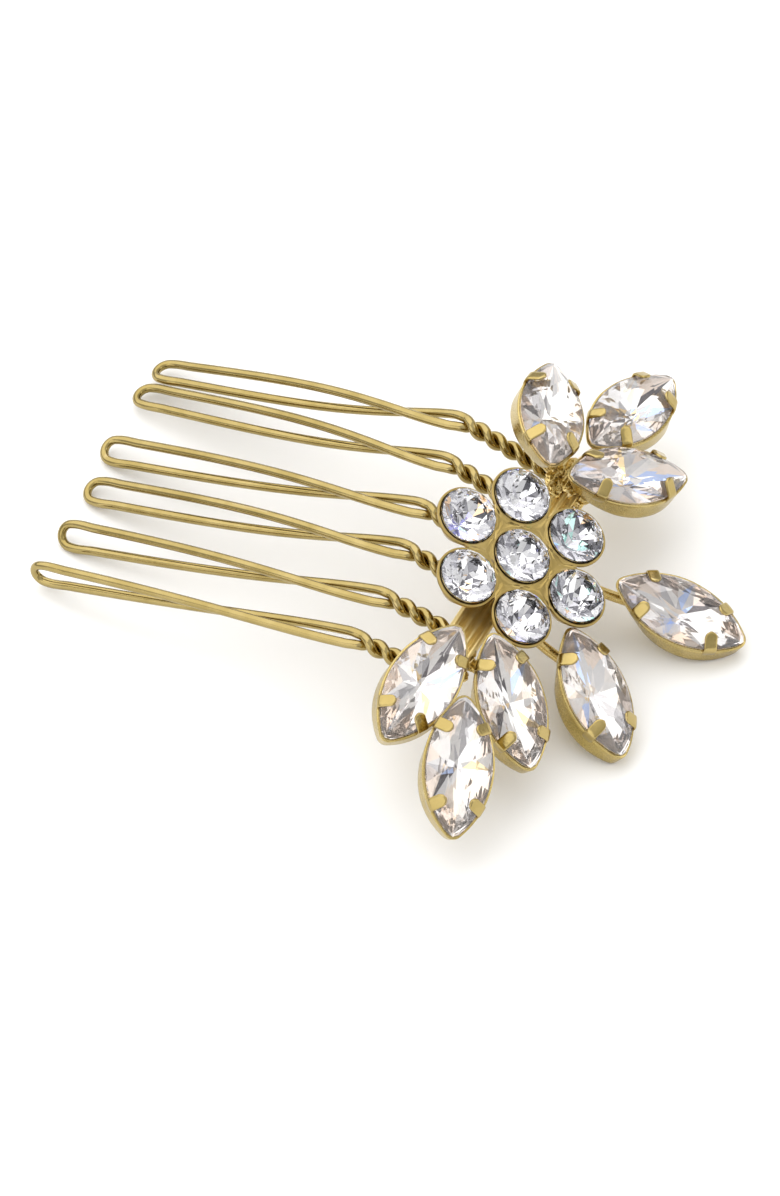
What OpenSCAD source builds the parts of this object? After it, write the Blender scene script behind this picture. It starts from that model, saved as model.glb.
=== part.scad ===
// Decorative hair comb: six wire teeth on a back bar, which carries a cast
// flower of round stones, a spray of three leaf-shaped stones at each end and
// two single leaf-shaped stones in front.
//
// Every module below works in the comb's own frame: X along the bar, Y towards
// the teeth, Z out of the flower's face, and the bar's top at Z = 0. lay_down()
// turns the finished comb onto its tooth tips and front stones, so that it
// stands on Z = 0, centred on the Z axis.

/* [Back bar] */
// Length of the bar that everything is soldered to
bar_l = 33; // [32:0.5:38]
// Width of the bar
bar_w = 4; // [3.6:0.1:5]
// Thickness of the bar, ridges included
bar_t = 1.4; // [1.3:0.1:1.8]
// Number of ridges along the bar's top
bar_ridges = 4; // [3:1:5]
// Height of the ridges
ridge_h = 0.3; // [0.2:0.05:0.4]

/* [Teeth] */
// Spacing of the teeth along the bar
tooth_pitch = 6.1; // [5.8:0.1:6.4]
// Diameter of the tooth wire
wire_d = 1; // [0.8:0.1:1]
// Length of an ordinary tooth's loop, from the end of its rope to its tip
leg_l = 41.8; // [36:0.2:46]
// Length of the twisted rope at the root of an ordinary tooth
rope_l = 12; // [10:0.5:14]
// Length of one full turn of the rope
rope_turn = 4; // [3.6:0.1:5]
// Angle of the rope below the flower's plane
rope_dip = 7.5; // [5:0.5:12]
// Angle of the legs below the flower's plane
leg_dip = 42; // [36:0.5:46]
// Further bend of the legs between the rope and the tip
leg_bend = 1.5; // [0:0.5:4]
// Half the gap between the two wires' centres in the loose eye after the rope
eye_half = 0.68; // [0.65:0.01:0.9]
// Half the gap between the two wires' centres at the tip
tip_half = 1.3; // [1.2:0.05:1.8]

/* [Flower] */
// Diameter of a round stone
round_d = 6.4; // [6:0.1:6.4]
// Distance from the middle stone's centre to each outer stone's centre
petal_r = 7.25; // [7:0.05:7.6]
// Height of the stones' girdle above the bar
flower_h = 3.5; // [3.3:0.1:4]
// Height of the round stone's crown above its girdle
round_crown = 1.15; // [0.8:0.05:1.4]

/* [Leaf stones] */
// Length of a leaf-shaped stone
leaf_l = 15; // [13:0.5:15]
// Width of a leaf-shaped stone
leaf_w = 7.3; // [6.6:0.1:7.3]
// Radius that rounds off a leaf stone's ends
leaf_tip_r = 0.8; // [0.5:0.1:1]
// Height of a cup's wall
cup_h = 2.4; // [2.3:0.1:2.8]
// Height of the leaf stone's crown above its girdle
leaf_crown = 1.6; // [1.3:0.1:1.8]
// Width of a cup's prongs
prong_w = 1.4; // [1.2:0.1:1.8]
// Diameter of the stems that hold the cups
stem_d = 1.2; // [1:0.1:1.2]

/* [Resting pose] */
// Angle of the flower's plane above the surface that the comb rests on
rest_tilt = 26.9; // [20:0.1:32]
// Height of the bar's top above that surface
rest_h = 10.7; // [8:0.1:16]
// Roll of the comb towards its +X end
rest_roll = 0.4; // [-6:0.1:6]
// Shift along X that centres the comb
rest_x = -0.7; // [-4:0.1:4]
// Shift along Y that centres the comb
rest_y = -14.4; // [-20:0.1:0]

/* [Hidden] */
tooth_count = 6;
leaf_count = 8;
petal_count = 6;

// How each hand-bent tooth differs from an even one, from the +X end of the bar:
// sideways turn of its rope, sideways turn of its legs, rise of its legs and
// roll of its loop in degrees, and extra length of rope and of legs.
tooth_rope_turn = [-2, 0.5, -3, -1, -4.5, -6];
tooth_leg_turn = [-0.2, 2.8, -0.4, -0.6, -1.3, -1.8];
tooth_rise = [-1, 0, 0, 0, 1, 2];
tooth_roll = [-35, -25, 0, -10, 25, 70];
tooth_more_rope = [2, 0.5, 0, -1, -2, -2];
tooth_more_leg = [-1.3, 0.3, 0.2, 0, 0.1, -0.5];

// Each leaf's cup: the middle of its base, its turn about Z, the dip of its
// outer end, and its roll about its length. The spray at +X is
// leaves 1 to 3, the singles are 4 and 5, and the spray at -X is 6 to 8.
leaf_at = [[17.3, 5.5, 0], [25.9, -1.9, -2.4], [16.7, -4.8, 0.3], [7.6, -18, 0],
           [-6.9, -14.9, -1.1], [-14.7, -7.7, 0.1], [-25, -6.9, 0.2], [-19.2, 1.1, -0.3]];
leaf_turn = [23, -13, -46, -82, -126, -129, -148, -179];
leaf_dip = [14, 5, 6, -8, 2, 8, 17, 14];
leaf_roll = [-3, -12, -7, 10, 3, 9, 11, 3];

// Each stem: where it leaves the bar, which way it leaves it, how far it drops
// near the bar, and how far from the cup's middle it meets the cup's base.
stem_from = [[14.2, 1], [1, 0], [13.4, -1], [3.5, -1],
             [-4.4, -1], [-12.4, -1], [-1, -1], [-1, 1]];
stem_drop = [0, 0.9, 0, 0.3, 0.6, 0, 0.9, 0.4];
stem_reach = [-3, -3, -3, -4.6, -4.5, -3, -3.5, 0.5];

wire_r = wire_d / 2;
rope_half = wire_r + 0.02;            // half the distance between the rope's strands
rope_r = rope_half + wire_r;          // outside radius of the rope
root_y = -1.2;
root_z = -bar_t - rope_r - 0.03;
bend_l = 3;                           // length over which a rope turns into legs
eye_l = 1.5;                          // length over which the strands open
gap_l = 38;                           // length scale of the legs' widening
unwind_l = 19;                        // length scale of the legs' last half turn
eye_phase = 215;                      // angle of the strands where the rope starts

seat_wall = 0.28;
seat_r = round_d / 2 + seat_wall;
seat_base_r = 1.8;
seat_rim_h = 0.6;                     // straight part of a seat's outside
girdle_h = 0.3;
ledge = 0.25;
seat_gap = 0.04;                      // clearance round a stone in its seat
web_drop = 0.1;                       // web surface below the seats' rims
seat_top = flower_h - 0.05;

cup_wall = 0.45;
cup_out = 0.28;                       // cup's outside beyond the stone's edge
cup_base_in = 2;                      // shortening of the cup's base at its inner end
cup_base_out = 0.3;                   // and at its outer end
cup_floor = 0.4;
prong_t = 0.37;
prong_gap = 0.08;
prong_at = 4.4;                       // distance of the prongs from the cup's middle

stem_r = stem_d / 2;
stem_end = 0.15;                      // straight length at each end of a stem
stem_lead = 1.8;                      // reach of the bends at a stem's ends
stem_n = 12;

solder_r = 1.9;

gold = [0.80, 0.68, 0.40];
dark_gold = [0.72, 0.60, 0.33];
crystal = [0.86, 0.87, 0.90];

// ---------------------------------------------------------------- helpers

module lay_down() {
    translate([rest_x, rest_y, rest_h]) rotate([rest_tilt, rest_roll, 0]) children();
}

function smooth(t) = let (c = max(0, min(1, t))) c * c * (3 - 2 * c);
function unit(v) = v / norm(v);

// Points of a pointed oval l long and w wide, with ends rounded to tip_r.
function oval(l, w, tip_r, n = 10) =
    let (
        half = l / 2 - tip_r,                       // centre of an end's arc
        big_r = (half * half + w * w / 4 - tip_r * tip_r) / (w - 2 * tip_r),
        lean = asin(half / (big_r - tip_r)),        // where the arcs meet
        low = [for (i = [-n:n]) let (a = lean * i / n)
            [big_r * sin(a), (big_r - w / 2) - big_r * cos(a)]],
        tip = [for (i = [1:3]) let (a = lean - 90 + (180 - 2 * lean) * i / 4)
            [half + tip_r * cos(a), tip_r * sin(a)]]
    )
    concat(low, tip, [for (p = concat(low, tip)) -p]);

// A tube of round wire along a list of points.
module wire_tube(points, r, across, sides = 8) {
    last = len(points) - 1;
    rings = [for (i = [0:last])
        let (
            t = unit(points[min(i + 1, last)] - points[max(i - 1, 0)]),
            x = unit(cross(t, across)),
            y = cross(t, x)
        )
        for (k = [0:sides - 1]) let (a = 360 * k / sides)
            points[i] + r * (cos(a) * x + sin(a) * y)];
    skin = [for (i = [0:last - 1], k = [0:sides - 1])
        let (a = i * sides + k, b = i * sides + (k + 1) % sides)
            each [[a, a + sides, b], [b, a + sides, b + sides]]];
    caps = [[for (k = [0:sides - 1]) k], [for (k = [sides - 1:-1:0]) last * sides + k]];
    polyhedron(rings, concat(skin, caps));
}

// Solid through a stack of level outlines, all with the same number of points.
module stack(outlines, heights) {
    n = len(outlines[0]);
    last = len(outlines) - 1;
    points = [for (j = [0:last], p = outlines[j]) [p.x, p.y, heights[j]]];
    skin = [for (j = [0:last - 1], i = [0:n - 1])
        let (a = j * n + i, b = j * n + (i + 1) % n)
            each [[a, a + n, b], [b, a + n, b + n]]];
    caps = [[for (i = [0:n - 1]) i], [for (i = [n - 1:-1:0]) last * n + i]];
    polyhedron(points, concat(skin, caps));
}

// Position on leaf k's cup, whose own frame has X along the leaf and Z upright.
function leaf_point(k, p) =
    let (
        r = leaf_roll[k - 1], d = leaf_dip[k - 1], a = leaf_turn[k - 1],
        q = [p.x, p.y * cos(r) - p.z * sin(r), p.y * sin(r) + p.z * cos(r)],
        s = [q.x * cos(d) + q.z * sin(d), q.y, -q.x * sin(d) + q.z * cos(d)],
        c = leaf_at[k - 1]
    )
    c + [s.x * cos(a) - s.y * sin(a), s.x * sin(a) + s.y * cos(a), s.z];

module on_leaf(k) {
    translate(leaf_at[k - 1]) rotate([leaf_roll[k - 1], leaf_dip[k - 1], leaf_turn[k - 1]])
        children();
}

// Centre of flower stone k: 0 is the middle one, and 1 to 6 go round it.
function petal_at(k) =
    let (a = 30 + 360 / petal_count * (k - 1))
    k == 0 ? [0, 0] : petal_r * [cos(a), sin(a)];

// ---------------------------------------------------------------- back bar

module back_bar() {
    flat_t = bar_t - ridge_h;
    step = bar_w / bar_ridges;
    profile = concat(
        [[-bar_w / 2, -bar_t]],
        [[-bar_w / 2, -ridge_h]],
        [for (i = [0:bar_ridges - 1]) let (y = -bar_w / 2 + step * (i + 0.5))
            each [[y - step * 0.36, -ridge_h], [y - step * 0.2, 0],
                  [y + step * 0.2, 0], [y + step * 0.36, -ridge_h]]],
        [[bar_w / 2, -ridge_h], [bar_w / 2, -bar_t]]
    );
    color(dark_gold) lay_down()
        rotate([90, 0, 90]) linear_extrude(bar_l, center = true) polygon(profile);
}

// ---------------------------------------------------------------- teeth

function tooth_x(k) = ((tooth_count + 1) / 2 - k) * tooth_pitch;
function tooth_rope(k) = rope_l + tooth_more_rope[k - 1];
function tooth_leg(k) = leg_l + tooth_more_leg[k - 1];

// Sideways turn and dip of tooth k's middle line at distance s from its root.
function tooth_heading(k, s) =
    let (
        u = s - tooth_rope(k),
        b = smooth((u + bend_l / 2) / bend_l),
        leg = leg_dip - tooth_rise[k - 1]
            + leg_bend * (max(u, 0) / tooth_leg(k) - 0.5)
    )
    [tooth_rope_turn[k - 1] * (1 - b) + tooth_leg_turn[k - 1] * b,
     rope_dip * (1 - b) + leg * b];

function along(h) = [sin(h[0]) * cos(h[1]), cos(h[0]) * cos(h[1]), -sin(h[1])];
function above(h) = [sin(h[0]) * sin(h[1]), cos(h[0]) * sin(h[1]), cos(h[1])];
function beside(h) = cross(along(h), above(h));

// Distances from the root at which tooth k has a ring: close together in the
// rope, wider along the legs.
function tooth_stations(k) =
    let (
        rope = tooth_rope(k), rope_n = ceil(rope / (rope_turn / 11)),
        eye = 8, eye_n = 10, leg = tooth_leg(k) - tip_half - eye, leg_n = 11
    )
    concat([for (i = [0:rope_n - 1]) rope * i / rope_n],
           [for (i = [0:eye_n - 1]) rope + eye * i / eye_n],
           [for (i = [0:leg_n]) rope + eye + leg * i / leg_n]);

// Points of tooth k's middle line at its stations, by adding up short steps.
function tooth_middle(k, at) =
    [for (i = 0, p = [tooth_x(k), root_y, root_z];
          i < len(at);
          p = p + (i + 1 < len(at) ? (at[i + 1] - at[i])
                  * along(tooth_heading(k, (at[i] + at[i + 1]) / 2)) : [0, 0, 0]),
          i = i + 1) p];

// Half the gap between the strands, and their angle about the middle line.
function strand_half(k, s) =
    let (u = max(s - tooth_rope(k), 0))
    rope_half + (eye_half - rope_half) * smooth(u / eye_l)
        + (tip_half - eye_half) * (1 - exp(-u / gap_l))
        / (1 - exp(-tooth_leg(k) / gap_l));
function strand_phase(k, s) =
    let (u = s - tooth_rope(k), roll = tooth_roll[k - 1])
    u > 0 ? roll + (eye_phase - roll) * exp(-u / unwind_l)
          : eye_phase - 360 * u / rope_turn;

// Tooth k's wire: up one strand, round the tip and back down the other.
module tooth(k) {
    at = tooth_stations(k);
    middle = tooth_middle(k, at);
    last = len(at) - 1;
    offset_at = [for (i = [0:last])
        let (h = tooth_heading(k, at[i]), a = strand_phase(k, at[i]))
            strand_half(k, at[i]) * (cos(a) * beside(h) + sin(a) * above(h))];
    tip = tooth_heading(k, at[last]);
    tip_n = 8;
    turn = [for (i = [1:tip_n - 1]) let (a = 180 * i / tip_n)
        middle[last] + cos(a) * offset_at[last]
            + sin(a) * norm(offset_at[last]) * along(tip)];
    path = concat([for (i = [0:last]) middle[i] + offset_at[i]], turn,
                  [for (i = [last:-1:0]) middle[i] - offset_at[i]]);
    color(gold) lay_down()
        wire_tube(path, wire_r, cross(along(tip), offset_at[last]));
}

// Bead of solder that holds tooth k's root against the underside of the bar.
module tooth_solder(k) {
    h = tooth_heading(k, 0);
    color(dark_gold) lay_down() difference() {
        intersection() {
            translate([tooth_x(k), root_y + 0.9, -bar_t - 0.4])
                sphere(solder_r, $fn = 48);
            translate([tooth_x(k), root_y + 0.9, -bar_t - solder_r * 2])
                cylinder(h = solder_r * 2, r = solder_r * 1.5, $fn = 48);
        }
        translate([tooth_x(k), root_y, root_z]) rotate([-90 - h[1], 0, -h[0]])
            translate([0, 0, -solder_r * 2])
                cylinder(h = solder_r * 6, r = rope_r + 0.01, $fn = 48);
    }
}

// ---------------------------------------------------------------- flower

// One-piece casting: seven seats, the webs between them and conical undersides.
module flower_setting() {
    color(gold) lay_down() difference() {
        union() {
            for (k = [0:petal_count]) translate([petal_at(k).x, petal_at(k).y, 0]) {
                translate([0, 0, seat_top - seat_rim_h])
                    cylinder(h = seat_rim_h, r = seat_r, $fn = 72);
                cylinder(h = seat_top - seat_rim_h, r1 = seat_base_r, r2 = seat_r, $fn = 72);
            }
            translate([0, 0, seat_top - seat_rim_h])
                linear_extrude(seat_rim_h - web_drop)
                    polygon([for (k = [1:petal_count]) petal_at(k)]);
        }
        for (k = [0:petal_count]) translate([petal_at(k).x, petal_at(k).y, 0]) {
            translate([0, 0, flower_h - girdle_h])
                cylinder(h = 1, r = round_d / 2 + seat_gap, $fn = 72);
            translate([0, 0, 0.4])
                cylinder(h = flower_h - girdle_h - 0.4 + 0.001, r1 = 0.5,
                         r2 = round_d / 2 - ledge + seat_gap, $fn = 72);
        }
    }
}

// Round stone k: crown with a flat table, girdle, and a cone that ends in its seat.
module flower_stone(k) {
    r = round_d / 2;
    color(crystal) lay_down() translate([petal_at(k).x, petal_at(k).y, 0]) {
        translate([0, 0, flower_h]) cylinder(h = round_crown, r1 = r, r2 = r * 0.55, $fn = 72);
        translate([0, 0, flower_h - girdle_h]) cylinder(h = girdle_h, r = r, $fn = 72);
        translate([0, 0, 0.7])
            cylinder(h = flower_h - girdle_h - 0.7, r1 = 0.3, r2 = r - ledge, $fn = 72);
    }
}

// ---------------------------------------------------------------- leaves

// Prong on the +X +Y side of a cup, bent in over the stone's crown.
module prong() {
    big_r = (leaf_l * leaf_l / 4 + leaf_w * leaf_w / 4) / leaf_w;
    lean = asin(prong_at / big_r);
    edge = sqrt(big_r * big_r - prong_at * prong_at) - (big_r - leaf_w / 2);
    top = cup_h + girdle_h;
    rise = 0.8;                       // slope of a prong's hook
    hook = 1.4;                       // reach of the hook over the stone
    out = prong_gap + prong_t;
    tab = 0.35;                       // thickness of the hook's end
    translate([prong_at, edge, 0]) rotate([0, 0, -lean])
        rotate([90, 0, 90]) linear_extrude(prong_w, center = true)
            polygon([[prong_gap, cup_h - 1.1], [out, cup_h - 1.1], [out, top + 0.3],
                     [out - 0.2, top + 0.55], [-hook + 0.2, top + 0.1 + tab + hook * rise],
                     [-hook, top + tab + hook * rise], [-hook, top + 0.15 + hook * rise],
                     [prong_gap, top + 0.15]]);
}

// Outline of a cup at height z, grown by out. The base stops short of the rim,
// mostly at its inner end.
function cup_outline(z, out) =
    let (
        t = 1 - z / cup_h,
        base = oval(leaf_l + 2 * out - (cup_base_in + cup_base_out) * t, leaf_w + 2 * out,
                    leaf_tip_r + cup_out, 8)
    )
    [for (p = base) p + [(cup_base_in - cup_base_out) * t / 2, 0]];

module leaf_cup(k) {
    inner = cup_out - cup_wall;
    color(gold) lay_down() on_leaf(k) union() {
        difference() {
            stack([cup_outline(0, cup_out), cup_outline(cup_h, cup_out)], [0, cup_h]);
            stack([cup_outline(cup_floor, inner), cup_outline(cup_h + 0.1, inner)],
                  [cup_floor, cup_h + 0.1]);
        }
        for (x = [0, 1], y = [0, 1]) mirror([x, 0, 0]) mirror([0, y, 0]) prong();
    }
}

// Leaf-shaped stone k as stacked outlines: keel, pavilion, girdle, crown, table.
module leaf_stone(k) {
    girdle = oval(leaf_l, leaf_w, leaf_tip_r, 5);
    inset = cup_wall - cup_out + 0.1;
    keel = 0.12;                      // size of the keel against the girdle
    table = 0.45;                     // size of the table against the girdle
    color(crystal) lay_down() on_leaf(k)
        stack([keel * girdle, [for (p = girdle) p * (1 - inset / norm(p))], girdle,
               girdle, table * girdle],
              [cup_floor + 0.1, cup_h, cup_h, cup_h + girdle_h, cup_h + girdle_h + leaf_crown]);
}

// Stem from the bar's edge or end, curving up into the base of leaf k's cup.
module leaf_stem(k) {
    s = stem_from[k - 1];
    end = abs(s.x) == 1;              // leaves an end of the bar, not a side
    out = end ? [s.x, 0, 0] : [0, s.y, 0];
    from = end ? [s.x * bar_l / 2, s.y * bar_w / 4, -bar_t / 2]
               : [s.x, s.y * bar_w / 2, -bar_t / 2];
    seat = leaf_point(k, [stem_reach[k - 1], 0, 0]);
    up = leaf_point(k, [stem_reach[k - 1], 0, 1]) - seat;
    lead = min(stem_lead, 0.45 * norm(seat - from));
    a = from + stem_end * out;
    b = a + lead * out - [0, 0, stem_drop[k - 1]];
    d = seat - stem_end * up;
    c = d - lead * up;
    curve = [for (i = [0:stem_n]) let (t = i / stem_n, w = 1 - t)
        w * w * w * a + 3 * w * w * t * b + 3 * w * t * t * c + t * t * t * d];
    color(dark_gold) lay_down()
        wire_tube(concat([from], curve, [seat]), stem_r, cross(out, up), 10);
}

// ---------------------------------------------------------------- assembly

back_bar();
flower_setting();
flower_stone(0);  // flower_stone_centre
for (k = [1:petal_count])
    flower_stone(k);
for (k = [1:tooth_count])
    tooth(k);
for (k = [1:tooth_count])
    tooth_solder(k);
for (k = [1:leaf_count])
    leaf_cup(k);
for (k = [1:leaf_count])
    leaf_stone(k);
for (k = [1:leaf_count])
    leaf_stem(k);
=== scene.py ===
import math
import random

import bmesh
import bpy
import numpy as np
from mathutils import Matrix, Vector, noise

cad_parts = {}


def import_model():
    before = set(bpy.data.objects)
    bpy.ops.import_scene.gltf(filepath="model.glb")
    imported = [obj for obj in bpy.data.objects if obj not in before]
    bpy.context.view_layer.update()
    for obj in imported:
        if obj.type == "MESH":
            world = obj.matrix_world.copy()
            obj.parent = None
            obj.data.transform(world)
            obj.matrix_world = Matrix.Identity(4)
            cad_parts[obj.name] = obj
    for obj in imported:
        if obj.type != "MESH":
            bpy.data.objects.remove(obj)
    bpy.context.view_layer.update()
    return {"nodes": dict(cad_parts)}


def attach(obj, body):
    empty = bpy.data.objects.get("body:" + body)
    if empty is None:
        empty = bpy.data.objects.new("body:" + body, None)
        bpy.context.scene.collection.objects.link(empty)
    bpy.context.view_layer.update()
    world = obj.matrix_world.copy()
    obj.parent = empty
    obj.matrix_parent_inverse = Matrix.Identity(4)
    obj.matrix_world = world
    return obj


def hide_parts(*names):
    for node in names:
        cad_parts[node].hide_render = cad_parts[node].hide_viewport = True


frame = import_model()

# Lengths are in millimetres in the comb's own frame or a leaf's, unless a comment says metres.
MM = 0.001
TOOTH_COUNT = 6
PETAL_COUNT = 6
LEAF_COUNT = 8
STONE_KEYS = ["centre"] + list(range(1, PETAL_COUNT + 1))

# First seeds of the random draws: prongs, tilts of round stones, facets of round and leaf stones.
PRONG_SEED, TILT_SEED, ROUND_SEED, LEAF_SEED = 20, 40, 60, 80

# How the CAD meshes are read.
SAME_PLACE = 7            # decimals of a metre to which two corners agree when they are one
WELD = 0.001              # corners of a tube nearer than this are one
TUBE_SIDES = 8
CAP_ANGLE = 60            # degrees; a tube's caps meet its sides more sharply than this
GIRDLE = 0.98             # corners beyond this share of a stone's reach lie on its girdle


# ------------------------------------------------------------ places, from the frame

def node_points(node):
    """A CAD node's distinct corners, in metres in the row frame."""
    mesh = frame["nodes"][node].data
    co = np.empty(len(mesh.vertices) * 3)
    mesh.vertices.foreach_get("co", co)
    return np.unique(np.round(co.reshape(-1, 3), SAME_PLACE), axis=0)


def into(points, m):
    """Points in metres brought into frame m, in millimetres."""
    inverse = np.array(m.inverted())
    return (points @ inverse[:3, :3].T + inverse[:3, 3]) / MM


def place(x, y, z, origin):
    """Matrix of the frame that has these axes and this origin."""
    m = Matrix((x, y, z)).transposed().to_4x4()
    m.translation = origin
    return m


def centred(m, points, low_z):
    """Frame m moved to the middle of the points in X and Y, with Z = 0 at low_z."""
    p = into(points, m)
    middle = (p.min(0) + p.max(0)) / 2
    return m @ Matrix.Translation(Vector((middle[0], middle[1], low_z)) * MM)


def comb_frame():
    """X along the bar, Y towards the teeth, Z out of the flower, Z = 0 on the bar's top.

    Its origin is under the middle of the flower, whose stone 2 is the one by the teeth.
    """
    middle = {k: node_points(f"flower_stone_{k}").mean(0) for k in STONE_KEYS}
    petals = np.array([middle[k] for k in STONE_KEYS[1:]])
    z = Vector(np.linalg.svd(petals - petals.mean(0))[2][2])
    z = z if z.z > 0 else -z
    y = Vector(middle[2] - middle["centre"]).normalized()
    m = place(y.cross(z), y, z, Vector(middle["centre"]))
    top = into(node_points("back_bar"), m)[:, 2].max()
    return centred(m, node_points("flower_stone_centre"), top)


def leaf_frame(k, comb):
    """X along leaf k towards its outer end, Z out of its face, origin under its cup."""
    p = node_points(f"leaf_stone_{k}")
    centre = p.mean(0)
    axes = np.linalg.eigh(np.cov((p - centre).T))[1]
    x, z = Vector(axes[:, 2]), Vector(axes[:, 0])
    x = x if x.dot(Vector(centre) - comb.translation) > 0 else -x
    z = z if z.dot(comb.col[2].to_3d()) > 0 else -z
    m = place(x, z.cross(x), z, Vector(centre))
    base = into(node_points(f"leaf_cup_{k}"), m)[:, 2].min()
    return centred(m, p, base)


def end_ring(bm):
    """Corners round one end of a CAD tube: the shortest closed loop of its sharp edges."""
    sharp = {e for e in bm.edges if e.calc_face_angle(0) > math.radians(CAP_ANGLE)}
    loops, done = [], set()
    for first in sorted(sharp, key=lambda e: e.index):
        grown, edges = {first} - done, set()
        while grown:
            edges |= grown
            grown = {e for g in grown for v in g.verts for e in v.link_edges} & sharp - edges
        done |= edges
        corners = {v for e in edges for v in e.verts}
        if len(edges) == len(corners) >= TUBE_SIDES:
            length = round(sum(e.calc_length() for e in edges), SAME_PLACE)
            loops.append((length, len(loops), corners))
    return min(loops)[2]


def tube(node):
    """Middle line in metres and radius in millimetres of a CAD tube, from its rings of corners."""
    bm = bmesh.new()
    bm.from_mesh(frame["nodes"][node].data)
    bmesh.ops.remove_doubles(bm, verts=bm.verts, dist=WELD * MM)
    ring = end_ring(bm)
    seen, middle, radii = set(ring), [], []
    while ring:
        centre = sum((v.co for v in sorted(ring, key=lambda v: v.index)), Vector()) / len(ring)
        radii.append(max((v.co - centre).length for v in ring))
        middle.append(centre)
        ring = {e.other_vert(v) for v in ring for e in v.link_edges} - seen
        seen |= ring
    bm.free()
    return np.array(middle), float(np.median(radii)) / MM


def corners_of(node):
    """A CAD node's corners in the comb's frame."""
    return into(node_points(node), COMB)


def middle_of(node):
    """Middle of a CAD node's box in the comb's frame."""
    p = corners_of(node)
    return (p.min(0) + p.max(0)) / 2


COMB = comb_frame()
LEAF = {k: leaf_frame(k, COMB) for k in range(1, LEAF_COUNT + 1)}

# Sizes of the bar, the flower and the leaves, measured on the CAD.
BAR_LOW, BAR_HIGH = corners_of("back_bar").min(0), corners_of("back_bar").max(0)
STONE_AT = {k: middle_of(f"flower_stone_{k}") for k in STONE_KEYS}
ROUND = corners_of("flower_stone_centre")
ROUND_R = np.ptp(ROUND[:, 0]) / 2
ROUND_TOP, ROUND_LOW = ROUND[:, 2].max(), ROUND[:, 2].min()
ROUND_EDGE = ROUND[np.hypot(ROUND[:, 0], ROUND[:, 1]) > GIRDLE * ROUND_R][:, 2]
SEAT_TOP = corners_of("flower_setting")[:, 2].max()
NAVETTE = into(node_points("leaf_stone_1"), LEAF[1])
LEAF_L, LEAF_W = np.ptp(NAVETTE[:, 0]), np.ptp(NAVETTE[:, 1])
LEAF_TOP, LEAF_LOW = NAVETTE[:, 2].max(), NAVETTE[:, 2].min()
LEAF_EDGE = NAVETTE[abs(NAVETTE[:, 0]) > GIRDLE * LEAF_L / 2][:, 2]
CUP_H = LEAF_EDGE.min()
CUP_OUT = np.ptp(into(node_points("leaf_cup_1"), LEAF[1])[:, 0]) / 2 - LEAF_L / 2

# Sizes that the visual model adds.
STONE_GAP = 0.06                     # taken off a round stone's radius and a leaf's length and width
SEAT_R = ROUND_R + 0.28              # a seat's outer radius
RIM_TOP = SEAT_TOP - 0.3             # the stones stand a little proud of their worn rims
SEAT_SIDES = 96                      # steps round a seat
TIP_R = 0.8                          # radius of a leaf's pointed ends
CUP_WALL = 0.45
CUP_FLOOR = 0.4
BASE_IN, BASE_OUT = 2.0, 0.3         # a cup's base stops short by this, inner and outer end
OVAL_STEPS, TIP_STEPS = 18, 7        # along half of a leaf outline's side, and round its tip


# ------------------------------------------------------------ meshes
# Where noise shapes a piece, a multiple of its seed or number moves it to another part of the noise.

def make_piece(name, parts, materials, replaced=(), m=COMB, smooth=True, sharp=None,
               second=None):
    """A piece from (corners, faces) parts in frame m, riding on the comb.

    second tells from a face's number whether it takes the second material.
    """
    verts, faces = [], []
    for part_verts, part_faces in parts:
        first = len(verts)
        verts += [m @ (Vector(v) * MM) for v in part_verts]
        faces += [[first + i for i in f] for f in part_faces]
    mesh = bpy.data.meshes.new(name)
    mesh.from_pydata(verts, [], faces)
    bm = bmesh.new()
    bm.from_mesh(mesh)
    bmesh.ops.recalc_face_normals(bm, faces=bm.faces)
    bm.to_mesh(mesh)
    bm.free()
    for material in materials:
        mesh.materials.append(material)
    mesh.polygons.foreach_set("use_smooth", [smooth] * len(mesh.polygons))
    if second is not None:
        picks = [int(second(i)) for i in range(len(mesh.polygons))]
        mesh.polygons.foreach_set("material_index", picks)
    if sharp is not None:
        mesh.set_sharp_from_angle(angle=math.radians(sharp))
    piece = bpy.data.objects.new(name, mesh)
    bpy.context.scene.collection.objects.link(piece)
    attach(piece, "root")
    if replaced:
        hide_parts(*replaced)
    return piece


def loft(rings, closed=False):
    """Skin through rings of points. An open loft is capped at both ends."""
    n, count = len(rings[0]), len(rings)
    verts = [tuple(p) for ring in rings for p in ring]
    faces = []
    for j in range(count if closed else count - 1):
        a, b = j * n, (j + 1) % count * n
        faces += [[a + i, a + (i + 1) % n, b + (i + 1) % n, b + i] for i in range(n)]
    if not closed:
        faces += [list(range(n)), list(range((count - 1) * n, count * n))]
    return verts, faces


def lathe(profile, centre, wobble, seed):
    """Closed ring of metal turned round a vertical axis, from a closed profile of (r, z)."""
    rings = []
    for i in range(SEAT_SIDES):
        a = 2 * math.pi * i / SEAT_SIDES
        out = Vector((math.cos(a), math.sin(a), 0))
        shift = noise.noise(out * 1.7 + Vector((seed * 3.1, 0, 0))) * wobble
        rings.append([(centre[0] + (r + shift) * out.x, centre[1] + (r + shift) * out.y,
                       z + shift * 0.6) for r, z in profile])
    return loft(rings, closed=True)


def arc(centre, r, start, end, n):
    """Points (x, y) on an arc, with angles in degrees."""
    angles = np.radians(np.linspace(start, end, n))
    return [(centre[0] + r * math.cos(a), centre[1] + r * math.sin(a)) for a in angles]


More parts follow.
